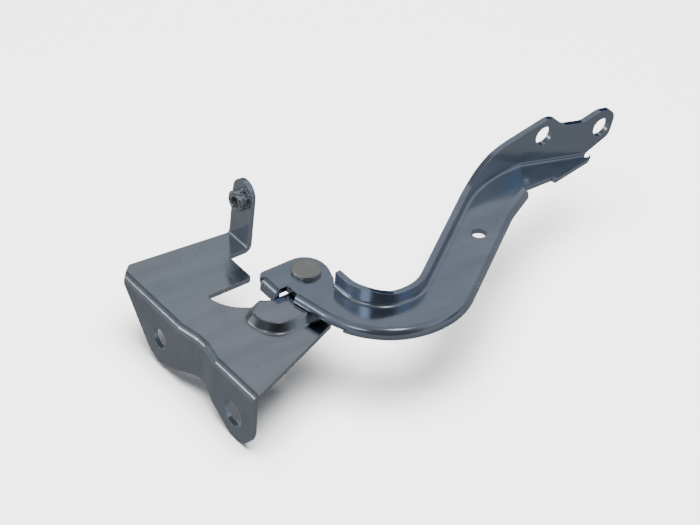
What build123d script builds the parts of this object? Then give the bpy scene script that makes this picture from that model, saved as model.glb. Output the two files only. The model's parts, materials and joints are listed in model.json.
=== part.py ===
from build123d import *
from math import atan2, cos, degrees, hypot, radians, sin, tan
import os

# A bonnet hinge: a pressed body bracket and a gooseneck bonnet arm on one riveted pivot.
# Sizes are in millimetres. The origin is the centre of the rear body bolt hole, on the
# bracket's mounting face. +X points from that face into the bracket, +Y towards the end of
# the bracket with the tab, and +Z along the pivot to the rivet head. The arm stands fully
# open, on its stop. Points of an outline are given from the pivot axis, unless a line says
# otherwise, and angles are in degrees.

# Sheets and bends
bracket_sheet = 2.6
bracket_bend = 1.4
arm_sheet = 3.0
arm_bend = 1.8
lip_bend = 0.8
bend_overlap = 1.0

# Pivot axis, from the rear body hole
pivot_x = 68.0
pivot_y = -23.0
plate_top = 18.0

# Outline of the bracket's plate
flange_rear_y = 54.3
rear_corner_x = -61.5
rear_edge_y = 59.9
tab_corner_y = 54.9
front_edge_margin = 15.3
nose_x = -6.6
nose_y = -29.9
nose_radius = 3.0
side_edge_rise = 12.0
notch_top_y = 19.4
notch_left_x = -44.2
notch_corner_radius = 1.6
spur_x = -17.6
spur_radius = 1.8
curve_x = -41.0
curve_y = 7.5
curve_radius = 20.0
stop_edge_x = -23.5
stop_edge_y = -4.3
pivot_end_radius = 11.5

# Raised seat round the pivot
seat_rise = 4.3
seat_wall_angle = 52.0
seat_left_x = -39.5
seat_left_y = -5.0
seat_left_angle = 34.7
seat_front_y = -24.5
seat_side_radius = 5.0
seat_corner_radius = 15.0
seat_rim_radius = 1.2
seat_foot_radius = 1.5

# Mounting flange of the bracket, with a shallow recess between its two bolt pads
bolt_hole_diameter = 11.0
slack_hole_diameter = 14.0
body_hole_pitch = 60.9
body_hole_drop = 2.7
body_pad_radius = 13.4
recess_depth = 2.2
recess_rear_y = 8.0
recess_run = 11.0
recess_length = 7.0
recess_radius = 9.0
flange_rear_angle = -40.0
scallop_rear_angle = -109.5
scallop_front_angle = -59.0
scallop_past_middle = 3.65
scallop_rise = 16.0
scallop_radius = 15.0

# Tab with its weld nut
tab_x = -6.6
tab_y = 46.8
tab_width = 15.4
tab_height = 35.2
tab_lean = 3.2
tab_root_flare = 3.0
tab_root_run = 6.0
tab_hole_diameter = 7.0
nut_below_top = 10.6
nut_across_flats = 10.0
nut_thickness = 4.5
nut_bore_diameter = 5.0
nut_chamfer = 0.5

# Pivot stack
rivet_head_diameter = 14.6
rivet_head_thickness = 2.0
rivet_head_chamfer = 0.4
shoulder_diameter = 10.0
tail_diameter = 8.0
tail_head_diameter = 12.0
tail_head_thickness = 2.0
running_clearance = 0.05
end_play = 0.1
bush_wall = 1.0
bush_flange_diameter = 20.0
bush_flange_thickness = 0.8
thrust_washer_diameter = 21.0
thrust_washer_thickness = 0.7
backing_washer_diameter = 18.0
backing_washer_thickness = 1.5

# Head of the arm, with the lip that is bent down as a stop
head_rear_y = 11.4
head_right_x = 10.8
head_radius = 11.0
shoulder_x = 8.0
shoulder_y = -11.5
shoulder_radius = 3.0
head_side_radius = 10.0
relief_radius = 1.2
stop_x = -21.2
stop_corner_radius = 4.5
stop_lip_setback = 3.6
stop_end_gap = 0.3
stop_depth = 7.2
relief_x = -13.5
relief_front_y = -12.0

# Gooseneck of the arm: outer edge with its rolled lip, inner edge with the upright flange
outer_start_x = -15.8
outer_corner_x = -5.2
outer_front_y = -65.0
outer_front_radius = 43.0
outer_rear_radius = 46.0
outer_straight = 1.0
neck_angle = 35.3
ear_x = 114.2
ear_angle = 27.5
ear_length = 19.8
ear_overhang = 4.6
ear_radius = 40.0
lip_depth = 5.6
shallow_lip_depth = 4.0
shallow_lip_reach = 42.0
bay_start_x = 4.8
bay_start_y = -16.2
bay_front_y = -44.3
bay_turn_x = 35.4
bay_front_radius = 21.0
bay_rear_radius = 24.0
pad_turn_x = 112.9
pad_turn_radius = 66.0
pad_y = 10.8
web_hole_diameter = 7.5
web_hole_x = 88.3
web_hole_y = -21.7
low_flange_height = 6.5
flange_end_height = 8.3
flange_rise_x = 100.0
flange_shoulder_x = 121.0
flange_shoulder_height = 14.2
flange_rise_radius = 25.0
flange_end_radius = 6.0

# Tilted tip of the arm, measured along its bend line from the crease, and above or beside it
crease_x = 141.0
crease_foot_x = 129.9
crease_foot_y = -5.4
tip_angle = 14.0
bonnet_hole_diameter = 10.5
bonnet_hole_along = 10.5
bonnet_hole_above = 15.5
bonnet_pad_radius = 9.8
bonnet_pad_end = 7.4
pad_corner_radius = 6.0
far_hole_overhang = 1.9
valley_height = 20.0
valley_radius = 8.0
tip_length = 48.6
tip_end_angle = 37.3
tip_step_run = 24.2
tip_step_beside = -11.7
tip_step = 1.9
tip_end_beside = -2.6
tip_corner_radius = 4.0

# Heights and depths that follow from the sizes above
plate_bottom = plate_top - bracket_sheet
seat_top = plate_top + seat_rise
seat_bottom = seat_top - bracket_sheet
arm_bottom = seat_top + thrust_washer_thickness + bush_flange_thickness
arm_top = arm_bottom + arm_sheet
head_bottom = arm_top + end_play
tail_top = seat_bottom - backing_washer_thickness
nut_height = tab_height - nut_below_top
flange_front_y = -pivot_y - body_hole_pitch - front_edge_margin
far_hole_along = tip_length + far_hole_overhang
reach = 300.0


def at_pivot(height):
    """A level plane with its origin on the pivot axis."""
    return Plane(origin=(pivot_x, pivot_y, height))


def tangent_corner(centre, radius, first_angle, second_angle):
    """The corner of two lines that touch a circle at the two angles."""
    middle = radians((first_angle + second_angle) / 2)
    distance = radius / cos(radians((second_angle - first_angle) / 2))
    return (centre[0] + distance * cos(middle), centre[1] + distance * sin(middle))


# Outline of the bracket, seen from above
tab_front_y = tab_y - tab_width / 2
tab_rear_y = tab_y + tab_width / 2
plate_end_x = tab_x - bracket_bend
bracket_bend_width = bracket_sheet + bracket_bend

with BuildSketch(at_pivot(0)) as bracket_outline:
    with BuildLine():
        front_edge = FilletPolyline(
            (-pivot_x - 1, flange_front_y),
            (-pivot_x + bracket_bend_width, flange_front_y),
            (nose_x, nose_y),
            (0, nose_y + side_edge_rise),
            radius=[bracket_bend, nose_radius],
        )
        stop_edge = FilletPolyline(
            (0, stop_edge_y),
            (stop_edge_x, stop_edge_y),
            (curve_x, curve_y),
            (notch_left_x, notch_top_y),
            (spur_x, notch_top_y),
            (spur_x, tab_front_y),
            (plate_end_x, tab_front_y),
            radius=[curve_radius / 2, curve_radius, notch_corner_radius, spur_radius, spur_radius],
        )
        Line(front_edge @ 1, stop_edge @ 0)
        Polyline(
            stop_edge @ 1,
            (plate_end_x, tab_corner_y),
            (rear_corner_x, rear_edge_y),
            (-pivot_x, flange_rear_y),
            (-pivot_x - 1, flange_rear_y),
            front_edge @ 0,
        )
    make_face()
    Circle(pivot_end_radius)
    with BuildLine():
        Polyline((0, 0), (nose_x, nose_y), (pivot_end_radius, 0), close=True)
    make_face()

# The seat's wall leans in, and the hollow below it keeps the sheet's thickness
seat_lean = 90 - seat_wall_angle
seat_inset = bracket_sheet * tan(radians(seat_wall_angle / 2))
seat_right_x = 2 * pivot_end_radius
seat_rear_y = 2 * pivot_end_radius
seat_rear_x = seat_left_x + (seat_rear_y - seat_left_y) / tan(radians(seat_left_angle))


def seat_outline(height, inset):
    """The seat's foot, which runs on past the plate's edge to the right and the rear."""
    with BuildSketch(at_pivot(height)) as outline:
        with BuildLine():
            FilletPolyline(
                (seat_rear_x, seat_rear_y),
                (seat_left_x, seat_left_y),
                (seat_left_x, seat_front_y),
                (seat_right_x, seat_front_y),
                (seat_right_x, seat_rear_y),
                radius=[
                    seat_side_radius,
                    seat_side_radius,
                    seat_corner_radius,
                    seat_side_radius,
                    seat_side_radius,
                ],
                close=True,
            )
        make_face()
        if inset > 0:
            offset(amount=-inset, mode=Mode.REPLACE)
    return outline.sketch


# Plate of the bracket, from the end of the flange's bend
plate_start_x = recess_depth + bracket_bend_width

with BuildPart() as plate:
    with BuildSketch(Plane.XY.offset(plate_bottom)):
        with Locations((plate_start_x, 0)):
            Rectangle(reach, reach, align=(Align.MIN, Align.CENTER))
    extrude(amount=bracket_sheet)
    extrude(seat_outline(plate_top, 0), amount=seat_rise, taper=seat_lean)
    fillet(plate.edges().filter_by_position(Axis.Z, seat_top, seat_top), seat_rim_radius)
    # The four longest edges at the plate's top are the slab's own; the others are the seat's foot
    foot_edges = plate.edges().filter_by_position(Axis.Z, plate_top, plate_top)
    fillet(foot_edges.sort_by(SortBy.LENGTH)[:-4], seat_foot_radius)
    extrude(seat_outline(plate_bottom, seat_inset), amount=seat_rise, taper=seat_lean, mode=Mode.SUBTRACT)

# The tab leans a little way back from the flange
tab_lean_run = tab_height * tan(radians(tab_lean))

nut_plane = Plane(
    origin=(pivot_x + tab_x + nut_height * tan(radians(tab_lean)), pivot_y + tab_y, plate_top + nut_height),
    x_dir=(0, 1, 0),
    z_dir=(cos(radians(tab_lean)), 0, -sin(radians(tab_lean))),
)

with BuildPart() as tab:
    with BuildSketch(Plane.XZ.offset(-pivot_y - tab_rear_y - tab_root_flare)):
        with BuildLine():
            face = FilletPolyline(
                (pivot_x + plate_end_x - tab_root_run, plate_top),
                (pivot_x + tab_x, plate_top),
                (pivot_x + tab_x + tab_lean_run, plate_top + tab_height),
                radius=bracket_bend,
            )
            offset(face, amount=bracket_sheet, side=Side.RIGHT)
        make_face()
    extrude(amount=tab_width + 2 * tab_root_flare)
    tab_plane = Plane(
        origin=(pivot_x + tab_x, pivot_y + tab_y, plate_top),
        x_dir=(0, 1, 0),
        z_dir=(cos(radians(tab_lean)), 0, -sin(radians(tab_lean))),
    )
    with BuildSketch(tab_plane):
        with Locations((0, tab_height - tab_width / 2)):
            Circle(tab_width / 2)
        Rectangle(tab_width, 2 * tab_height - tab_width)
        with BuildLine():
            Polyline(
                (tab_width / 2, tab_root_flare),
                (tab_corner_y - tab_y, 0),
                (tab_corner_y - tab_y, -tab_width / 2),
                (0, -tab_width / 2),
                (0, tab_root_flare),
                close=True,
            )
        make_face()
    extrude(amount=reach, both=True, mode=Mode.INTERSECT)

# Mounting flange and its bend, along the edge that steps in between the bolt pads
flange_rear = pivot_y + rear_edge_y
slack_hole = (-body_hole_pitch, -body_hole_drop)
front_arc_centre = (pivot_y + flange_front_y + body_pad_radius, -body_hole_drop)

with BuildPart() as flange:
    with BuildLine(at_pivot(plate_top)) as crease:
        FilletPolyline(
            (-pivot_x, rear_edge_y),
            (-pivot_x, recess_rear_y),
            (-pivot_x + recess_depth, recess_rear_y - recess_run),
            (-pivot_x + recess_depth, recess_rear_y - recess_run - recess_length),
            (-pivot_x, recess_rear_y - 2 * recess_run - recess_length),
            (-pivot_x, flange_front_y),
            radius=recess_radius,
        )
    with BuildSketch(Plane(origin=(0, flange_rear, plate_top), x_dir=(1, 0, 0), z_dir=(0, -1, 0))):
        with BuildLine():
            face = FilletPolyline(
                (0, -plate_top - 2 * body_pad_radius),
                (0, 0),
                (plate_start_x + 1, 0),
                radius=bracket_bend_width,
            )
            offset(face, amount=bracket_sheet, side=Side.RIGHT)
        make_face()
    sweep(path=crease.wire())
    with BuildSketch(Plane.YZ.offset(-1)):
        with BuildLine():
            low_edge = FilletPolyline(
                (pivot_y + flange_rear_y + 1, plate_top - bracket_bend_width),
                tangent_corner((0, 0), body_pad_radius, flange_rear_angle, scallop_rear_angle),
                (-body_hole_pitch / 2 - scallop_past_middle, scallop_rise - plate_top),
                tangent_corner(front_arc_centre, body_pad_radius, scallop_front_angle, -180),
                (pivot_y + flange_front_y, plate_top - bracket_bend_width),
                radius=[body_pad_radius, scallop_radius, body_pad_radius],
            )
            Polyline(
                low_edge @ 1,
                (pivot_y + flange_front_y, plate_top + 1),
                (flange_rear, plate_top + 1),
                (flange_rear, plate_top - bracket_bend_width),
                low_edge @ 0,
            )
        make_face()
    extrude(amount=pivot_x, mode=Mode.INTERSECT)

with BuildPart() as body_bracket:
    add(flange.part)
    add(plate.part)
    extrude(bracket_outline.sketch, amount=reach, both=True, mode=Mode.INTERSECT)
    add(tab.part)
    # Bolt holes of the flange, the rivet's hole in the seat and the nut's hole in the tab
    with Locations(Plane.YZ.offset(bracket_sheet)):
        Hole(bolt_hole_diameter / 2, depth=2 * bracket_sheet)
    with Locations(Plane(origin=(bracket_sheet, *slack_hole), x_dir=(0, 1, 0), z_dir=(1, 0, 0))):
        Hole(slack_hole_diameter / 2, depth=2 * bracket_sheet)
    with Locations(at_pivot(seat_top)):
        Hole(tail_diameter / 2, depth=2 * bracket_sheet)
    with Locations(nut_plane.offset(bracket_sheet)):
        Hole(tab_hole_diameter / 2, depth=2 * bracket_sheet)

# Hexagonal weld nut on the tab's face towards the flange
with BuildPart() as tab_weld_nut:
    with BuildSketch(nut_plane):
        RegularPolygon(nut_across_flats / 2, 6, major_radius=False, rotation=30)
    extrude(amount=-nut_thickness)
    with BuildSketch(nut_plane.offset(-nut_thickness)):
        Circle(nut_across_flats / 2 + nut_chamfer)
    extrude(amount=nut_thickness, taper=-30, mode=Mode.INTERSECT)
    with Locations(nut_plane):
        Hole(nut_bore_diameter / 2, depth=nut_thickness)
    bore_ends = tab_weld_nut.edges().filter_by(GeomType.CIRCLE).group_by(SortBy.RADIUS)[0]
    chamfer(bore_ends.sort_by(Axis.X)[0], nut_chamfer)

# Shouldered rivet: the head holds the arm down, the tail is peened over below the seat
with BuildPart() as pivot_rivet:
    with BuildSketch(at_pivot(head_bottom)):
        Circle(rivet_head_diameter / 2)
    extrude(amount=rivet_head_thickness)
    chamfer(pivot_rivet.edges().sort_by(Axis.Z)[-1], rivet_head_chamfer)
    with BuildSketch(at_pivot(seat_top)):
        Circle(shoulder_diameter / 2)
    extrude(amount=head_bottom - seat_top)
    with BuildSketch(at_pivot(tail_top)):
        Circle(tail_diameter / 2)
    extrude(amount=seat_top - tail_top)
    with BuildSketch(at_pivot(tail_top)):
        Circle(tail_head_diameter / 2)
    extrude(amount=-tail_head_thickness)
    fillet(pivot_rivet.edges().sort_by(Axis.Z)[0], tail_head_thickness * 0.6)

# Washers, and the flanged bush that the arm turns on
with BuildPart() as thrust_washer:
    with BuildSketch(at_pivot(seat_top)):
        Circle(thrust_washer_diameter / 2)
        Circle(shoulder_diameter / 2 + running_clearance, mode=Mode.SUBTRACT)
    extrude(amount=thrust_washer_thickness)

with BuildPart() as backing_washer:
    with BuildSketch(at_pivot(tail_top)):
        Circle(backing_washer_diameter / 2)
        Circle(tail_diameter / 2, mode=Mode.SUBTRACT)
    extrude(amount=backing_washer_thickness)

bush_bore = shoulder_diameter / 2 + running_clearance
bush_radius = bush_bore + bush_wall

with BuildPart() as pivot_bush:
    with BuildSketch(at_pivot(arm_bottom - bush_flange_thickness)):
        Circle(bush_flange_diameter / 2)
        Circle(bush_bore, mode=Mode.SUBTRACT)
    extrude(amount=bush_flange_thickness)
    with BuildSketch(at_pivot(arm_bottom)):
        Circle(bush_radius)
        Circle(bush_bore, mode=Mode.SUBTRACT)
    extrude(amount=arm_sheet)

# Upright flange of the arm: one band along the inside of the gooseneck, cut to its side view


def on_tip(along, above):
    """A point of the tilted tip, seen from the side, from the pivot and the arm's top."""
    tilt = radians(tip_angle)
    return (
        crease_x + along * cos(tilt) + above * sin(tilt),
        above * cos(tilt) - along * sin(tilt),
    )


def inner_path(end_x):
    """The foot of the upright flange, from the head round the gooseneck to the bonnet pad."""
    return FilletPolyline(
        (bay_start_x, bay_start_y),
        (bay_start_x, bay_front_y),
        (bay_turn_x, bay_front_y),
        (pad_turn_x, pad_y),
        (end_x, pad_y),
        radius=[bay_front_radius, bay_rear_radius, pad_turn_radius],
    )


def bend_section(angle):
    """Section of the flange and its bend; the web's leg leaves at this angle below level."""
    leg = arm_bend + bend_overlap
    with BuildSketch() as section:
        with BuildLine():
            skin = FilletPolyline(
                (0, reach),
                (0, 0),
                (leg * cos(radians(angle)), -leg * sin(radians(angle))),
                radius=arm_bend,
            )
            offset(skin, amount=arm_sheet, side=Side.RIGHT)
        make_face()
    return section.sketch


side_plane = Plane(origin=(pivot_x, pivot_y, arm_top), x_dir=(1, 0, 0), z_dir=(0, -1, 0))
first_hole = on_tip(bonnet_hole_along, bonnet_hole_above)
second_hole = on_tip(far_hole_along, bonnet_hole_above)
valley_run = far_hole_along - bonnet_hole_along
pad_top = bonnet_hole_above + bonnet_pad_radius
pad_end = far_hole_along + bonnet_pad_end
pad_end_foot = bonnet_hole_above - bonnet_pad_radius / 2
profile_floor = -2 * arm_sheet
pad_end_run = (pad_end_foot - profile_floor) / tan(radians(tip_end_angle))

# Level web of the arm, with its head, and the tilted tip beyond the crease
crease_foot = (crease_foot_x, crease_foot_y)
crease_direction = Vector(crease_x - crease_foot_x, pad_y - crease_foot_y, 0)
tip_direction = Vector(cos(radians(tip_angle)), 0, -sin(radians(tip_angle)))
tip_plane = Plane(
    origin=(pivot_x + crease_x, pivot_y + pad_y, arm_top),
    x_dir=tip_direction,
    z_dir=tip_direction.cross(crease_direction),
)
tip_foot = tip_plane.to_local_coords(
    Vector(pivot_x + crease_foot_x, pivot_y + crease_foot_y, arm_top)
)
stop_end_y = stop_edge_y + stop_end_gap
outer_lean = atan2(outer_corner_x - outer_start_x, relief_front_y - outer_front_y)
front_arc_run = outer_front_radius * tan((radians(90) - outer_lean) / 2)
rear_arc_run = outer_rear_radius * tan(radians(neck_angle) / 2)
outer_turn_x = outer_corner_x + front_arc_run + outer_straight + rear_arc_run
ear_y = outer_front_y + (ear_x - outer_turn_x) * tan(radians(neck_angle))
rolled_width = arm_sheet + lip_bend


def outer_edge(last_run):
    """The arm's outer edge, from the relief behind the stop lip to the ear."""
    return FilletPolyline(
        (outer_start_x, relief_front_y),
        (outer_corner_x, outer_front_y),
        (outer_turn_x, outer_front_y),
        (ear_x, ear_y),
        (ear_x + last_run * cos(radians(ear_angle)), ear_y + last_run * sin(radians(ear_angle))),
        radius=[outer_front_radius, outer_rear_radius, ear_radius],
    )


def lip_section(depth):
    """Section of a lip that is bent down, with its outer corner at the origin."""
    with BuildSketch() as section:
        with BuildLine():
            skin = FilletPolyline((0, -depth), (0, 0), (rolled_width + 1, 0), radius=rolled_width)
            offset(skin, amount=arm_sheet, side=Side.RIGHT)
        make_face()
    return section.sketch


stop_lip_length = head_rear_y - stop_lip_setback - stop_end_y

# The crease's vertical plane parts the level stretch from the tilted one
crease_run = reach * crease_direction.normalized()
crease_ends = (
    (crease_x - crease_run.X, pad_y - crease_run.Y),
    (crease_x + crease_run.X, pad_y + crease_run.Y),
)

with BuildPart() as level_bend:
    with BuildLine(at_pivot(arm_top)) as foot_line:
        inner_path(crease_x + 2 * arm_sheet)
    with BuildSketch(Plane(origin=foot_line.line @ 0, x_dir=(-1, 0, 0), z_dir=(0, 1, 0))):
        add(bend_section(0))
    sweep(path=foot_line.wire())
    with BuildSketch(at_pivot(0)):
        with BuildLine():
            Polyline(*crease_ends, (-reach, reach), (-reach, -reach), close=True)
        make_face()
    extrude(amount=reach, both=True, mode=Mode.INTERSECT)

tip_tilt = degrees(atan2(-tip_plane.z_dir.Y, hypot(tip_plane.z_dir.X, tip_plane.z_dir.Z)))

with BuildPart() as tip_bend:
    with BuildSketch(Plane(origin=tip_plane.origin, x_dir=(0, -1, 0), z_dir=-tip_direction)):
        add(bend_section(tip_tilt))
    extrude(amount=reach, both=True)
    with BuildSketch(at_pivot(0)):
        with BuildLine():
            Polyline(*crease_ends, (2 * reach, reach), (2 * reach, -reach), close=True)
        make_face()
    extrude(amount=reach, both=True, mode=Mode.INTERSECT)

with BuildPart() as arm_flange:
    add(level_bend.part)
    add(tip_bend.part)
    with BuildSketch(side_plane):
        with BuildLine():
            top_edge = FilletPolyline(
                (0, flange_end_height),
                (bay_start_x + 2 * arm_sheet, flange_end_height),
                (bay_start_x + 5 * arm_sheet, low_flange_height),
                (flange_rise_x, low_flange_height),
                (flange_shoulder_x, flange_shoulder_height),
                tangent_corner(first_hole, bonnet_pad_radius, 110 - tip_angle, 50 - tip_angle),
                on_tip(bonnet_hole_along + 0.3 * valley_run, valley_height),
                on_tip(bonnet_hole_along + 0.65 * valley_run, valley_height),
                on_tip(far_hole_along - 0.4 * bonnet_pad_radius, pad_top),
                on_tip(pad_end, pad_top),
                on_tip(pad_end, pad_end_foot),
                on_tip(pad_end - pad_end_run, profile_floor),
                radius=[
                    flange_end_radius,
                    flange_end_radius,
                    flange_rise_radius,
                    flange_rise_radius,
                    bonnet_pad_radius,
                    valley_radius,
                    valley_radius,
                    bonnet_pad_radius,
                    pad_corner_radius,
                    pad_corner_radius,
                ],
            )
            Polyline(top_edge @ 1, (0, -reach), top_edge @ 0)
        make_face()
    extrude(amount=reach, both=True, mode=Mode.INTERSECT)

with BuildPart() as arm_web:
    with BuildSketch(at_pivot(arm_bottom)):
        with BuildLine():
            edge = outer_edge(ear_length - ear_overhang)
            bend = inner_path(crease_x)
            Polyline(edge @ 1, crease_foot, bend @ 1)
            head = FilletPolyline(
                bend @ 0,
                (shoulder_x, shoulder_y),
                (head_right_x, shoulder_y / 4),
                (head_right_x, head_rear_y),
                (stop_x, head_rear_y),
                (stop_x, stop_end_y),
                (relief_x, stop_end_y),
                (relief_x, relief_front_y),
                edge @ 0,
                radius=[
                    shoulder_radius,
                    head_side_radius,
                    head_radius,
                    stop_corner_radius,
                    relief_radius / 2,
                    relief_radius,
                    relief_radius,
                ],
            )
        make_face()
        with Locations((stop_x, stop_end_y)):
            Rectangle(rolled_width, stop_lip_length, align=Align.MIN, mode=Mode.SUBTRACT)
        with BuildLine():
            strip = outer_edge(ear_length)
            offset(strip, amount=rolled_width, side=Side.LEFT)
        make_face(mode=Mode.SUBTRACT)
        with BuildLine():
            strip = inner_path(crease_x)
            offset(strip, amount=arm_bend, side=Side.RIGHT)
        make_face(mode=Mode.SUBTRACT)
    extrude(amount=arm_sheet)
    with BuildSketch(tip_plane):
        with BuildLine():
            tip = FilletPolyline(
                (tip_foot.X, tip_foot.Y),
                (tip_foot.X + tip_step_run, tip_step_beside),
                (tip_foot.X + tip_step_run + tip_step / 2, tip_step_beside - tip_step),
                (tip_length - tip_corner_radius / 4, tip_end_beside),
                (tip_length, 0),
                radius=[tip_step / 4, tip_step / 4, tip_corner_radius],
            )
            crease_inset = tip_foot * (-arm_bend / tip_foot.Y)
            Polyline(tip @ 1, (tip_length - arm_bend, -arm_bend), (crease_inset.X, -arm_bend), tip @ 0)
        make_face()
    extrude(amount=-arm_sheet)

# Lips that are bent down: one rolled along the outer edge, and the short stop lip
edge_start = Vector(pivot_x + outer_start_x, pivot_y + relief_front_y, arm_top)
edge_direction = Vector(outer_corner_x - outer_start_x, outer_front_y - relief_front_y, 0)
edge_plane = Plane(origin=edge_start, x_dir=Vector(0, 0, 1).cross(edge_direction), z_dir=edge_direction)
stop_plane = Plane(
    origin=(pivot_x + stop_x, pivot_y + stop_end_y, arm_top),
    x_dir=(1, 0, 0),
    z_dir=(0, -1, 0),
)

with BuildPart() as arm_lips:
    with BuildLine(at_pivot(arm_top)) as edge_line:
        outer_edge(ear_length)
    with BuildSketch(edge_plane):
        add(lip_section(lip_depth))
    sweep(path=edge_line.wire())
    with BuildSketch(at_pivot(arm_top - shallow_lip_depth)):
        Circle(shallow_lip_reach)
    extrude(amount=-lip_depth, mode=Mode.SUBTRACT)
    with BuildSketch(stop_plane):
        add(lip_section(stop_depth))
    extrude(amount=-stop_lip_length)

with BuildPart() as bonnet_arm:
    add(arm_web.part)
    add(arm_lips.part)
    add(arm_flange.part)
    # Bush hole, the gauge hole in the web and the two bonnet bolt holes
    with Locations(at_pivot(arm_top)):
        Hole(bush_radius, depth=2 * arm_sheet)
    with Locations(Plane(origin=(pivot_x + web_hole_x, pivot_y + web_hole_y, arm_top))):
        Hole(web_hole_diameter / 2, depth=2 * arm_sheet)
    for hole in (first_hole, second_hole):
        hole_plane = Plane(
            origin=(pivot_x + hole[0], pivot_y + pad_y + arm_sheet, arm_top + hole[1]),
            x_dir=(1, 0, 0),
            z_dir=(0, 1, 0),
        )
        with Locations(hole_plane):
            Hole(bonnet_hole_diameter / 2, depth=2 * arm_sheet)

os.makedirs("parts", exist_ok=True)

body_bracket.part.label = "body_bracket"
export_step(body_bracket.part, "parts/body_bracket.step")
tab_weld_nut.part.label = "tab_weld_nut"
export_step(tab_weld_nut.part, "parts/tab_weld_nut.step")
pivot_rivet.part.label = "pivot_rivet"
export_step(pivot_rivet.part, "parts/pivot_rivet.step")
thrust_washer.part.label = "thrust_washer"
export_step(thrust_washer.part, "parts/thrust_washer.step")
backing_washer.part.label = "backing_washer"
export_step(backing_washer.part, "parts/backing_washer.step")
pivot_bush.part.label = "pivot_bush"
export_step(pivot_bush.part, "parts/pivot_bush.step")
bonnet_arm.part.label = "bonnet_arm"
export_step(bonnet_arm.part, "parts/bonnet_arm.step")
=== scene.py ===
import bmesh
import bpy
import json
from math import cos, pi, radians, sin
from mathutils import Matrix, Vector, noise


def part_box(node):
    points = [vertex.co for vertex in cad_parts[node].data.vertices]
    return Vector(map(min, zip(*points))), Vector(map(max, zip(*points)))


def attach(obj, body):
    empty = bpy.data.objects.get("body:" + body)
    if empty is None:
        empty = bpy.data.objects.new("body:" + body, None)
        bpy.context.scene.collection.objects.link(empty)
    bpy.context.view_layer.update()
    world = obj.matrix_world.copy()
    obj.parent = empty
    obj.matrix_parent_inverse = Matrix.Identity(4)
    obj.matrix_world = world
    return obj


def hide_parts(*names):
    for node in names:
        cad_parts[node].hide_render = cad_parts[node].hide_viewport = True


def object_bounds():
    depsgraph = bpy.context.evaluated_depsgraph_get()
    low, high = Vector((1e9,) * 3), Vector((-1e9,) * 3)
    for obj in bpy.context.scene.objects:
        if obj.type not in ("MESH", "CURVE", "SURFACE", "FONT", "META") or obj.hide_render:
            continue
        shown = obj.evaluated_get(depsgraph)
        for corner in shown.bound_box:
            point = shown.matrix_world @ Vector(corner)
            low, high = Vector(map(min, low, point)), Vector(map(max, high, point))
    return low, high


# A zinc-plated bonnet hinge on a pale floor, seen as in the photograph. Lengths are in metres.
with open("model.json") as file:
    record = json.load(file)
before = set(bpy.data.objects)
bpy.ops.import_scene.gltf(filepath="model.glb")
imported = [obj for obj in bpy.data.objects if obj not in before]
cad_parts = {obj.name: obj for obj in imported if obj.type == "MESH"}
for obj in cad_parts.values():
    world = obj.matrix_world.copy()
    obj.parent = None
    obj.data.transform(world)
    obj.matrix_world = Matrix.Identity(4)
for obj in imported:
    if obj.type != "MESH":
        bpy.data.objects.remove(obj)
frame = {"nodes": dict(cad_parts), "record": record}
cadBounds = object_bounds()
print("frame loaded:", ", ".join(sorted(frame["nodes"])))

# Camera: a long lens, looking down on the hinge. Its place is worked out from the rivet's head.
camera = {
    "azimuth": -38.8,
    "elevation": 38.0,
    "roll": 3.5,
    "focalPixels": 3000.0,
    "pixelsPerMillimetre": 2.1,
    "imageWidth": 700.0,
    "imageHeight": 525.0,
    "anchorPixel": (306.3, 268.0),
    "sensorWidth": 36.0,
    "clipEnd": 20,
}


def addCamera(settings):
    low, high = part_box("pivot_rivet")
    anchor = Vector(((low[0] + high[0]) / 2, (low[1] + high[1]) / 2, high[2]))
    turn = radians(settings["azimuth"])
    tilt = radians(settings["elevation"])
    forward = Vector((-sin(turn) * cos(tilt), cos(turn) * cos(tilt), -sin(tilt)))
    right = Vector((cos(turn), sin(turn), 0))
    up = right.cross(forward)
    roll = radians(settings["roll"])
    rolledRight = right * cos(roll) + up * sin(roll)
    rolledUp = up * cos(roll) - right * sin(roll)
    column, row = settings["anchorPixel"]
    across = (column - settings["imageWidth"] / 2) / settings["focalPixels"]
    above = (settings["imageHeight"] / 2 - row) / settings["focalPixels"]
    depth = settings["focalPixels"] / settings["pixelsPerMillimetre"] / 1000
    data = bpy.data.cameras.new("camera")
    data.sensor_width = settings["sensorWidth"]
    data.lens = settings["focalPixels"] * settings["sensorWidth"] / settings["imageWidth"]
    data.clip_end = settings["clipEnd"]
    eye = bpy.data.objects.new("camera", data)
    bpy.context.scene.collection.objects.link(eye)
    place = anchor - depth * (forward + across * rolledRight + above * rolledUp)
    turnMatrix = Matrix((rolledRight, rolledUp, -forward)).transposed().to_4x4()
    eye.matrix_world = Matrix.Translation(place) @ turnMatrix
    bpy.context.scene.camera = eye


addCamera(camera)
print("camera set")

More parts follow.
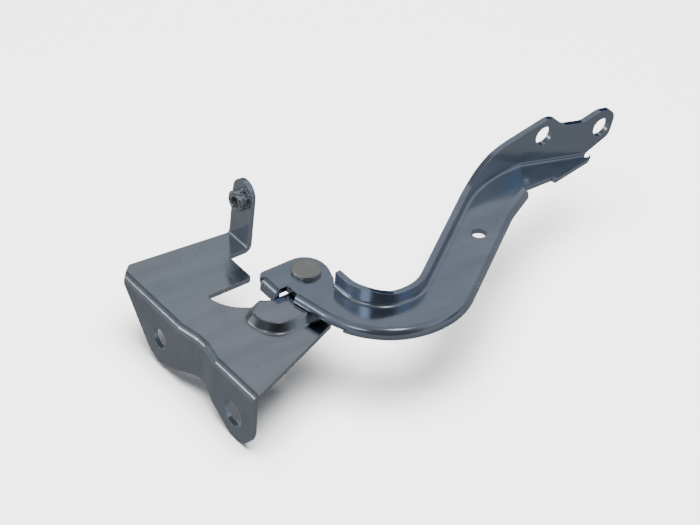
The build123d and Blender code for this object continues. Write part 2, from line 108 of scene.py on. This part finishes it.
# Floor, sky and lamp. The metal mirrors the sky alone: floor and lamp are hidden from it.
# A sky stop is a height from 0 underfoot to 1 overhead, and its colour. A card is a round patch
# on the sky: its aim, the cosines at which it starts and is full, its strength and its colour.
studio = {
    "floorColour": (0.95, 0.95, 0.95, 1),
    "floorRoughness": 0.8,
    "floorSize": 6.0,
    "floorGap": 0.0005,
    "skyStops": [
        (0.0, (0.20, 0.205, 0.21)),
        (0.19, (0.215, 0.22, 0.23)),
        (0.3, (0.28, 0.285, 0.295)),
        (0.45, (0.29, 0.30, 0.315)),
        (0.6, (0.25, 0.265, 0.285)),
        (0.75, (0.345, 0.365, 0.39)),
        (0.84, (0.40, 0.42, 0.445)),
        (1.0, (0.26, 0.27, 0.29)),
    ],
    "cards": [
        # dark blue, in the arm's sloped tip
        ((0.74, 0.62, 0.27), (0.935, 0.985), 0.95, (0.015, 0.035, 0.09)),
        # dark, in slopes that face the camera
        ((-0.42, -0.75, 0.42), (0.62, 0.93), 0.76, (0.04, 0.04, 0.035)),
        # dark, in the arm's flange
        ((0.73, -0.61, 0.31), (0.96, 0.99), 0.75, (0.04, 0.06, 0.11)),
        # dark, where the folds begin
        ((-0.08, 0.62, 0.78), (0.96, 0.985), 0.6, (0.06, 0.07, 0.08)),
        # dark, further round the folds
        ((-0.42, 0.62, 0.66), (0.95, 0.985), 0.3, (0.06, 0.07, 0.08)),
        # bright, along the folds
        ((-0.78, 0.50, 0.38), (0.978, 0.988), 1.0, (2.2, 2.25, 2.3)),
        # bright, in the arm's outer roll
        ((0.05, -0.25, 0.96), (0.990, 0.996), 1.0, (3.5, 3.5, 3.5)),
        # bright, in the flange of the bay
        ((-0.74, -0.26, 0.63), (0.980, 0.993), 1.0, (1.2, 1.3, 1.45)),
        # blue, in the flange of the bay
        ((0.47, -0.63, 0.62), (0.988, 0.997), 0.8, (0.29, 0.42, 0.60)),
    ],
}
topBox = {
    "aim": (0.12, -0.02, 0.02),
    "place": (0.10, 0.0, 1.5),
    "size": 1.4,
    "power": 125,
    "inMetal": False,
}


def addFloor(settings):
    half = settings["floorSize"] / 2
    level = cadBounds[0][2] - settings["floorGap"]
    mesh = bpy.data.meshes.new("floor")
    turns = ((-half, -half), (half, -half), (half, half), (-half, half))
    mesh.from_pydata([(*turn, level) for turn in turns], [], [(0, 1, 2, 3)])
    floor = bpy.data.objects.new("floor", mesh)
    bpy.context.scene.collection.objects.link(floor)
    floor.visible_glossy = False
    material = bpy.data.materials.new("floorPaper")
    material.use_nodes = True
    shader = material.node_tree.nodes["Principled BSDF"]
    shader.inputs["Base Color"].default_value = settings["floorColour"]
    shader.inputs["Roughness"].default_value = settings["floorRoughness"]
    mesh.materials.append(material)


def addWorld(settings):  # a ramp of greys from underfoot to overhead, with the cards on it
    world = bpy.data.worlds.new("studioSky")
    world.use_nodes = True
    nodes = world.node_tree.nodes
    links = world.node_tree.links
    place = nodes.new("ShaderNodeTexCoord")
    split = nodes.new("ShaderNodeSeparateXYZ")
    links.new(place.outputs["Generated"], split.inputs["Vector"])
    height = nodes.new("ShaderNodeMapRange")
    height.inputs["From Min"].default_value = -1  # to 1, which makes 0 to 1
    links.new(split.outputs["Z"], height.inputs["Value"])
    ramp = nodes.new("ShaderNodeValToRGB")
    for position, colour in settings["skyStops"][1:-1]:
        ramp.color_ramp.elements.new(position).color = (*colour, 1)
    ramp.color_ramp.elements[0].color = (*settings["skyStops"][0][1], 1)
    ramp.color_ramp.elements[-1].color = (*settings["skyStops"][-1][1], 1)
    links.new(height.outputs["Result"], ramp.inputs["Fac"])
    colour = ramp.outputs["Color"]
    for aim, edge, amount, tone in settings["cards"]:
        facing = nodes.new("ShaderNodeVectorMath")
        facing.operation = "DOT_PRODUCT"
        facing.inputs[1].default_value = Vector(aim).normalized()
        links.new(place.outputs["Generated"], facing.inputs[0])
        mask = nodes.new("ShaderNodeMapRange")
        mask.interpolation_type = "SMOOTHSTEP"
        mask.inputs["From Min"].default_value = edge[0]
        mask.inputs["From Max"].default_value = edge[1]
        mask.inputs["To Max"].default_value = amount
        links.new(facing.outputs["Value"], mask.inputs["Value"])
        cover = nodes.new("ShaderNodeMix")
        cover.data_type = "RGBA"
        cover.inputs["B"].default_value = (*tone, 1)
        links.new(mask.outputs["Result"], cover.inputs["Factor"])
        links.new(colour, cover.inputs["A"])
        colour = cover.outputs["Result"]
    links.new(colour, nodes["Background"].inputs["Color"])
    bpy.context.scene.world = world


def addLightBox(name, settings):
    data = bpy.data.lights.new(name, "AREA")
    data.size = settings["size"]
    data.energy = settings["power"]
    light = bpy.data.objects.new(name, data)
    light.location = settings["place"]
    aim = Vector(settings["aim"]) - Vector(settings["place"])
    light.rotation_euler = aim.to_track_quat("-Z", "Y").to_euler()
    light.visible_glossy = settings["inMetal"]
    bpy.context.scene.collection.objects.link(light)


addFloor(studio)
addWorld(studio)
addLightBox("topBox", topBox)
print("studio lit")


# Shared shader effects
def newGroup(name, inputs, outputs):
    group = bpy.data.node_groups.new(name, "ShaderNodeTree")
    for label, kind, value in inputs:
        socket = group.interface.new_socket(label, in_out="INPUT", socket_type=kind)
        socket.default_value = value
    for label, kind in outputs:
        group.interface.new_socket(label, in_out="OUTPUT", socket_type=kind)
    return group, group.nodes.new("NodeGroupInput"), group.nodes.new("NodeGroupOutput")


def fill(tree, socket, source):  # a link or a plain value
    if isinstance(source, bpy.types.NodeSocket):
        tree.links.new(source, socket)
    else:
        socket.default_value = source


def addNoise(tree, vector, scale, detail, roughness=0.5):
    texture = tree.nodes.new("ShaderNodeTexNoise")
    fill(tree, texture.inputs["Scale"], scale)
    texture.inputs["Detail"].default_value = detail
    texture.inputs["Roughness"].default_value = roughness
    tree.links.new(vector, texture.inputs["Vector"])
    return texture.outputs["Fac"]


def addStretched(tree, vector, turn, scale, detail):  # a noise drawn out into lines
    stretch = tree.nodes.new("ShaderNodeMapping")
    stretch.inputs["Rotation"].default_value = turn
    stretch.inputs["Scale"].default_value = scale
    tree.links.new(vector, stretch.inputs["Vector"])
    return addNoise(tree, stretch.outputs["Vector"], 1.0, detail)


def addRange(tree, value, low, high, newLow, newHigh):
    ranged = tree.nodes.new("ShaderNodeMapRange")
    labels = ("From Min", "From Max", "To Min", "To Max")
    for label, number in zip(labels, (low, high, newLow, newHigh)):
        ranged.inputs[label].default_value = number
    tree.links.new(value, ranged.inputs["Value"])
    return ranged.outputs["Result"]


def addMath(tree, operation, first, second):
    node = tree.nodes.new("ShaderNodeMath")
    node.operation = operation
    fill(tree, node.inputs[0], first)
    fill(tree, node.inputs[1], second)
    return node.outputs["Value"]


def addMix(tree, factor, first, second):
    mix = tree.nodes.new("ShaderNodeMix")
    mix.data_type = "RGBA"
    fill(tree, mix.inputs["Factor"], factor)
    fill(tree, mix.inputs["A"], first)
    fill(tree, mix.inputs["B"], second)
    return mix.outputs["Result"]


# What all plated pieces share: scale, detail and roughness of each noise, and how it is used
platingPattern = {
    "drift": (24, 3, 0.5),
    "driftRange": (0.38, 0.62),
    "cloud": (75, 6, 0.6),
    "stainRange": (0.52, 0.72),
    "stainAmount": 0.5,
    "hazeRange": (0.35, 0.7),
    "hazeAmounts": (-0.3, 1.0),
    "waves": (42, 2, 0.5),
    "grain": (3, 0.6),  # its scale is set by each material
    "speck": (2, 0.5),
    "speckWidth": 0.06,
    "scratchTurn": (0.1, 0.2, 0.7),
    "scratchScale": (30, 1100, 600),
    "scratchRange": (0.69, 0.76),
    "scratchAmount": 0.4,
    "streakTurn": (0.0, 0.0, 0.9),
    "streakScale": (12, 85, 50),
    "streakRange": (0.34, 0.66),
    "streakShades": (0.92, 1.07),
    "lineDetail": 3,
    "pitColour": (0.16, 0.16, 0.15, 1),
    "scratchColour": (0.74, 0.76, 0.78, 1),
    # lighter edge colour: partly worn plating, partly a painted highlight
    "wornAndHighlightColour": (0.72, 0.74, 0.76, 1),
    # painted shade: the dark colour laid into crevices and onto the seat wall
    "paintedShadeColour": (0.06, 0.065, 0.07, 1),
    "paintedShadeRoughness": 0.25,
}


def makePlatingGroup(settings):  # tints, stains, pits, scratches, haze, grain and press waves
    group, source, result = newGroup(
        "zincPlating",
        [
            ("Base", "NodeSocketColor", (0.5, 0.54, 0.6, 1)),
            ("Tint", "NodeSocketColor", (0.4, 0.42, 0.52, 1)),
            ("Stain", "NodeSocketColor", (0.4, 0.41, 0.36, 1)),
            ("Worn Edge And Highlight", "NodeSocketFloat", 0.0),
            ("Painted Shade", "NodeSocketFloat", 0.0),
            ("Gloss", "NodeSocketFloat", 0.2),
            ("Haze", "NodeSocketFloat", 0.08),
            ("Grain Scale", "NodeSocketFloat", 1500.0),
            ("Speck Scale", "NodeSocketFloat", 330.0),
            ("Speck Level", "NodeSocketFloat", 0.7),
            ("Speck Depth", "NodeSocketFloat", 0.35),
        ],
        [
            ("Color", "NodeSocketColor"),
            ("Roughness", "NodeSocketFloat"),
            ("Grain", "NodeSocketFloat"),
            ("Waves", "NodeSocketFloat"),
        ],
    )
    place = group.nodes.new("ShaderNodeTexCoord").outputs["Object"]
    given = source.outputs
    drift = addNoise(group, place, *settings["drift"])
    cloud = addNoise(group, place, *settings["cloud"])
    waves = addNoise(group, place, *settings["waves"])
    grain = addNoise(group, place, given["Grain Scale"], *settings["grain"])
    speck = addNoise(group, place, given["Speck Scale"], *settings["speck"])
    speck = addMath(group, "SUBTRACT", speck, given["Speck Level"])
    pits = addRange(group, speck, 0, settings["speckWidth"], 0, 1)
    pits = addMath(group, "MULTIPLY", pits, given["Speck Depth"])
    detail = settings["lineDetail"]
    scratch = addStretched(group, place, settings["scratchTurn"], settings["scratchScale"], detail)
    scratch = addRange(group, scratch, *settings["scratchRange"], 0, 1)
    streak = addStretched(group, place, settings["streakTurn"], settings["streakScale"], detail)
    streak = addRange(group, streak, *settings["streakRange"], *settings["streakShades"])

    tintAmount = addRange(group, drift, *settings["driftRange"], 0, 1)
    tinted = addMix(group, tintAmount, given["Base"], given["Tint"])
    rolled = group.nodes.new("ShaderNodeVectorMath")
    rolled.operation = "SCALE"
    group.links.new(tinted, rolled.inputs["Vector"])
    group.links.new(streak, rolled.inputs["Scale"])
    stainAmount = addRange(group, cloud, *settings["stainRange"], 0, settings["stainAmount"])
    stained = addMix(group, stainAmount, rolled.outputs["Vector"], given["Stain"])
    pitted = addMix(group, pits, stained, settings["pitColour"])
    scratched = addMath(group, "MULTIPLY", scratch, settings["scratchAmount"])
    scored = addMix(group, scratched, pitted, settings["scratchColour"])
    # edges lightened: worn plating and a painted highlight along folds and cut edges
    wornAndHighlighted = addMix(group, given["Worn Edge And Highlight"], scored, settings["wornAndHighlightColour"])
    # painted shade: the colour is darkened wherever the shade mask is set
    withPaintedShade = addMix(group, given["Painted Shade"], wornAndHighlighted, settings["paintedShadeColour"])
    group.links.new(withPaintedShade, result.inputs["Color"])

    haze = addRange(group, cloud, *settings["hazeRange"], *settings["hazeAmounts"])
    gloss = addMath(group, "ADD", given["Gloss"], addMath(group, "MULTIPLY", haze, given["Haze"]))
    dulled = addMath(group, "MULTIPLY", given["Painted Shade"], settings["paintedShadeRoughness"])
    group.links.new(addMath(group, "ADD", gloss, dulled), result.inputs["Roughness"])
    group.links.new(addMath(group, "SUBTRACT", grain, scratch), result.inputs["Grain"])
    group.links.new(waves, result.inputs["Waves"])
    return group


platingGroup = makePlatingGroup(platingPattern)


def addBump(tree, height, strength, distance, normal):
    bump = tree.nodes.new("ShaderNodeBump")
    bump.inputs["Strength"].default_value = strength
    bump.inputs["Distance"].default_value = distance
    tree.links.new(height, bump.inputs["Height"])
    tree.links.new(normal, bump.inputs["Normal"])
    return bump.outputs["Normal"]


def addRaisedMask(tree, levels, area):  # one above the plate, in a circle shifted off the pivot
    low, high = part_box("pivot_rivet")
    place = tree.nodes.new("ShaderNodeTexCoord").outputs["Object"]
    split = tree.nodes.new("ShaderNodeSeparateXYZ")
    tree.links.new(place, split.inputs["Vector"])
    middle = [(low[axis] + high[axis]) / 2 + area["shift"][axis] for axis in (0, 1)]
    away = [addMath(tree, "SUBTRACT", split.outputs[axis], middle[axis]) for axis in (0, 1)]
    square = addMath(tree, "ADD", *(addMath(tree, "MULTIPLY", span, span) for span in away))
    near = addRange(tree, square, area["full"] ** 2, area["reach"] ** 2, 1, 0)
    above = addRange(tree, split.outputs["Z"], *levels, 0, 1)
    return addMath(tree, "MULTIPLY", near, above)


shading = {
    "samples": 8,
    "wornAndHighlightFacing": (0.995, 0.85),  # cosine between the face and its rounded edge
    # how far occlusion must close in before it becomes painted shade
    "paintedShadeOpenness": (0.55, 0.15),
    "wallUpright": (0.95, 0.75),
}


def makePlated(settings):
    material = bpy.data.materials.new(settings["name"])
    material.use_nodes = True
    tree = material.node_tree
    shader = tree.nodes["Principled BSDF"]
    shader.inputs["Metallic"].default_value = 1.0
    plating = tree.nodes.new("ShaderNodeGroup")
    plating.node_tree = platingGroup
    plating.inputs["Base"].default_value = settings["base"]
    plating.inputs["Tint"].default_value = settings["tint"]
    plating.inputs["Stain"].default_value = settings["stain"]
    plating.inputs["Gloss"].default_value = settings["roughness"]
    plating.inputs["Haze"].default_value = settings["haze"]
    plating.inputs["Grain Scale"].default_value = settings["grainScale"]
    for label, number in zip(("Speck Scale", "Speck Level", "Speck Depth"), settings["specks"]):
        plating.inputs[label].default_value = number
    edge = tree.nodes.new("ShaderNodeBevel")
    edge.samples = shading["samples"]
    edge.inputs["Radius"].default_value = settings["edgeRadius"]
    surface = tree.nodes.new("ShaderNodeNewGeometry")
    raised = settings["raised"]
    if raised:
        mask = addRaisedMask(tree, raised["levels"], raised["seat"])
        radius = addRange(tree, mask, 0, 1, settings["edgeRadius"], raised["edgeRadius"])
        tree.links.new(radius, edge.inputs["Radius"])
    # edge mask from the rounded normal: partly wear, partly a painted highlight on edges and bends
    facing = tree.nodes.new("ShaderNodeVectorMath")
    facing.operation = "DOT_PRODUCT"
    tree.links.new(edge.outputs["Normal"], facing.inputs[0])
    tree.links.new(surface.outputs["Normal"], facing.inputs[1])
    wearAndHighlight = addRange(tree, facing.outputs["Value"], *shading["wornAndHighlightFacing"], 0, settings["wearAndHighlight"])
    tree.links.new(wearAndHighlight, plating.inputs["Worn Edge And Highlight"])
    # painted shade: ambient occlusion darkens crevices, recesses, gaps between parts and the foot
    # near the floor
    crevice = tree.nodes.new("ShaderNodeAmbientOcclusion")
    crevice.samples = shading["samples"]
    crevice.inputs["Distance"].default_value = settings["paintedShadeReach"]
    paintedShade = addRange(tree, crevice.outputs["AO"], *shading["paintedShadeOpenness"], 0, settings["paintedShade"])
    # painted shade on the upright wall of the pivot seat, under the arm
    if raised:
        upright = tree.nodes.new("ShaderNodeSeparateXYZ")
        tree.links.new(surface.outputs["Normal"], upright.inputs["Vector"])
        shade = addRaisedMask(tree, raised["levels"], raised["shade"])
        wall = addRange(tree, upright.outputs["Z"], *shading["wallUpright"], 0, raised["paintedShade"])
        paintedShade = addMath(tree, "MAXIMUM", paintedShade, addMath(tree, "MULTIPLY", shade, wall))
    tree.links.new(paintedShade, plating.inputs["Painted Shade"])
    waves, grain = plating.outputs["Waves"], plating.outputs["Grain"]
    waved = addBump(tree, waves, 1.0, settings["waveDepth"], edge.outputs["Normal"])
    grained = addBump(tree, grain, settings["relief"], settings["reliefDepth"], waved)
    tree.links.new(plating.outputs["Color"], shader.inputs["Base Color"])
    tree.links.new(plating.outputs["Roughness"], shader.inputs["Roughness"])
    tree.links.new(grained, shader.inputs["Normal"])
    return material


def dress(node, material):
    target = frame["nodes"][node]
    target.data.materials.clear()
    target.data.materials.append(material)


# Finishes of the pieces. "raised" softens the pressed edge of the pivot seat and paints shade on
# its wall.
bracketZinc = {
    "name": "bracketZinc",
    "base": (0.49, 0.54, 0.605, 1),
    "tint": (0.505, 0.535, 0.58, 1),
    "stain": (0.44, 0.49, 0.50, 1),
    "roughness": 0.15,
    "haze": 0.06,
    "relief": 0.07,
    "specks": (330, 0.7, 0.35),
    "reliefDepth": 0.00003,
    "grainScale": 1500,
    "waveDepth": 0.0003,
    # edge wear with painted highlight
    "wearAndHighlight": 0.5,
    # strength and reach of the painted shade in crevices
    "paintedShade": 0.75,
    "paintedShadeReach": 0.008,
    "edgeRadius": 0.0003,
    "raised": {
        "levels": (0.0184, 0.0190),
        "seat": {"shift": (-0.018, -0.008), "full": 0.0306, "reach": 0.034},
        "shade": {"shift": (-0.032, -0.015), "full": 0.006, "reach": 0.0135},
        "edgeRadius": 0.0016,
        # strength of the painted shade on the seat wall
        "paintedShade": 0.88,
    },
}
armZinc = dict(
    bracketZinc,
    name="armZinc",
    base=(0.45, 0.51, 0.585, 1),
    tint=(0.43, 0.475, 0.58, 1),
    stain=(0.42, 0.47, 0.52, 1),
    roughness=0.16,
    # stronger wear and painted highlight on the arm's edges
    wearAndHighlight=0.8,
    raised=None,
)
rivetSteel = dict(
    armZinc,
    name="rivetSteel",
    base=(0.66, 0.65, 0.58, 1),
    tint=(0.60, 0.61, 0.54, 1),
    stain=(0.50, 0.49, 0.42, 1),
    roughness=0.34,
    relief=0.4,
)
nutZinc = dict(
    armZinc,
    name="nutZinc",
    base=(0.66, 0.68, 0.71, 1),
    tint=(0.56, 0.58, 0.63, 1),
    stain=(0.40, 0.41, 0.41, 1),
    specks=(1000, 0.5, 0.93),
    roughness=0.10,
    relief=1.0,
    reliefDepth=0.00045,
    grainScale=1100,
)
washerSteel = dict(armZinc, name="washerSteel", base=(0.50, 0.52, 0.54, 1), roughness=0.3)
bushBronze = dict(
    armZinc,
    name="bushBronze",
    base=(0.60, 0.44, 0.22, 1),
    tint=(0.52, 0.36, 0.18, 1),
    stain=(0.30, 0.22, 0.14, 1),
    roughness=0.38,
)
dress("body_bracket", makePlated(bracketZinc))
dress("bonnet_arm", makePlated(armZinc))
dress("pivot_rivet", makePlated(rivetSteel))
nutMaterial = makePlated(nutZinc)
dress("tab_weld_nut", nutMaterial)
washerMaterial = makePlated(washerSteel)
dress("thrust_washer", washerMaterial)
dress("backing_washer", washerMaterial)
dress("pivot_bush", makePlated(bushBronze))
print("materials made")

# Weld nut on the tab: chamfered hexagon, M6 thread and three weld beads at its foot
weldNut = {
    "node": "tab_weld_nut",
    "mount": "tab_nut",
    "acrossFlats": 0.010,
    "height": 0.0045,
    "faceRadius": 0.0047,
    "chamferSlope": 0.55,
    "mouthRadius": 0.0031,
    "mouthDepth": 0.0003,
    "crestRadius": 0.0025,
    "rootRadius": 0.0029,
    "pitch": 0.001,
    "footLift": 0.00002,
    "columns": 96,
    "turnSteps": 4,
    "slot": "nut_steel",
    "body": "bracket",
}
weldBead = {
    "count": 3,
    "radius": 0.0055,
    "size": (0.0011, 0.0008, 0.00045),
    "lumps": 0.00015,
    "lumpScale": 900.0,
    "subdivisions": 4,
}
joinDistance = 1e-6


def nutFrame(settings):  # the middle of the nut's foot, its axis and two directions across it
    mounts = frame["record"]["mounts"]
    mount = next(item for item in mounts if item["name"] == settings["mount"])
    outward = -Vector(mount["axis"]).normalized()
    low, high = (Vector(corner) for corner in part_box(settings["node"]))
    foot = (low + high) / 2 - outward * (settings["height"] / 2)
    across = Vector((0, 1, 0))
    return foot, outward, across, outward.cross(across)


def hexagonReach(angle, acrossFlats):
    turn = (angle + pi / 6) % (pi / 3) - pi / 6
    return acrossFlats / 2 / cos(turn)


def nutRows(settings):  # each row is a function from an angle to a radius and a height
    flats = settings["acrossFlats"]
    top = settings["height"]
    face = settings["faceRadius"]
    mouth = top - settings["mouthDepth"]
    foot = settings["footLift"]
    crest = settings["crestRadius"]
    root = settings["rootRadius"]
    flank = (crest + root) / 2
    pitch = settings["pitch"]

    def side(angle):
        radius = hexagonReach(angle, flats)
        return radius, top - (radius - face) * settings["chamferSlope"]

    def threadRow(step):  # crest, flank, root and flank in turn
        radius = (crest, flank, root, flank)[step % settings["turnSteps"]]

        def row(angle):
            lift = mouth + pitch * (1 - step / settings["turnSteps"] - angle / (2 * pi))
            return radius, min(max(lift, foot), mouth)

        return row

    steps = int((mouth + pitch) / pitch * settings["turnSteps"]) + 2
    rows = [lambda angle: (hexagonReach(angle, flats), foot), side, lambda angle: (face, top)]
    rows.append(lambda angle: (settings["mouthRadius"], top))
    rows.append(lambda angle: (root, mouth))
    rows.extend(threadRow(step) for step in range(steps))
    rows.append(lambda angle: (root, foot))
    return rows


def addPiece(name, mesh, material, settings):
    for polygon in mesh.polygons:
        polygon.use_smooth = False
    mesh.materials.append(material)
    piece = bpy.data.objects.new(name, mesh)
    bpy.context.scene.collection.objects.link(piece)
    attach(piece, settings["body"])
    return piece


def makeNut(settings, material):
    foot, outward, across, along = nutFrame(settings)
    columns = settings["columns"]
    rows = nutRows(settings)
    shape = bmesh.new()
    grid = []
    for row in rows:
        line = []
        for column in range(columns + 1):
            angle = 2 * pi * column / columns
            radius, lift = row(angle)
            radial = across * cos(angle) + along * sin(angle)
            line.append(shape.verts.new(foot + outward * lift + radial * radius))
        grid.append(line)
    for first, second in zip(grid, grid[1:] + grid[:1]):
        for left, right in zip(range(columns), range(1, columns + 1)):
            shape.faces.new((first[left], first[right], second[right], second[left]))
    bmesh.ops.remove_doubles(shape, verts=shape.verts, dist=joinDistance)
    bmesh.ops.dissolve_degenerate(shape, edges=shape.edges, dist=joinDistance)
    bmesh.ops.recalc_face_normals(shape, faces=shape.faces)
    mesh = bpy.data.meshes.new("weld_nut")
    shape.to_mesh(mesh)
    shape.free()
    piece = addPiece("weld_nut", mesh, material, settings)
    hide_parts(settings["node"])


def makeBeads(settings, bead, material):
    foot, outward, across, along = nutFrame(settings)
    for number in range(bead["count"]):
        angle = pi / 6 + 2 * pi * number / bead["count"]
        radial = across * cos(angle) + along * sin(angle)
        sideways = outward.cross(radial)
        shape = bmesh.new()
        bmesh.ops.create_icosphere(shape, subdivisions=bead["subdivisions"], radius=1.0)
        for vert in shape.verts:
            wide, deep, high = vert.co
            offset = sideways * (wide * bead["size"][0]) + radial * (deep * bead["size"][1])
            offset += outward * (max(high, 0) * bead["size"][2])  # flat underneath
            place = foot + radial * bead["radius"] + outward * settings["footLift"] + offset
            if high > 0:
                lump = noise.noise(place * bead["lumpScale"]) * bead["lumps"]
                place += outward * (lump * high)
            vert.co = place
        mesh = bpy.data.meshes.new("nut_bead_%d" % (number + 1))
        shape.to_mesh(mesh)
        shape.free()
        addPiece("nut_bead_%d" % (number + 1), mesh, material, settings)


makeNut(weldNut, nutMaterial)
makeBeads(weldNut, weldBead, nutMaterial)
print("weld nut made")
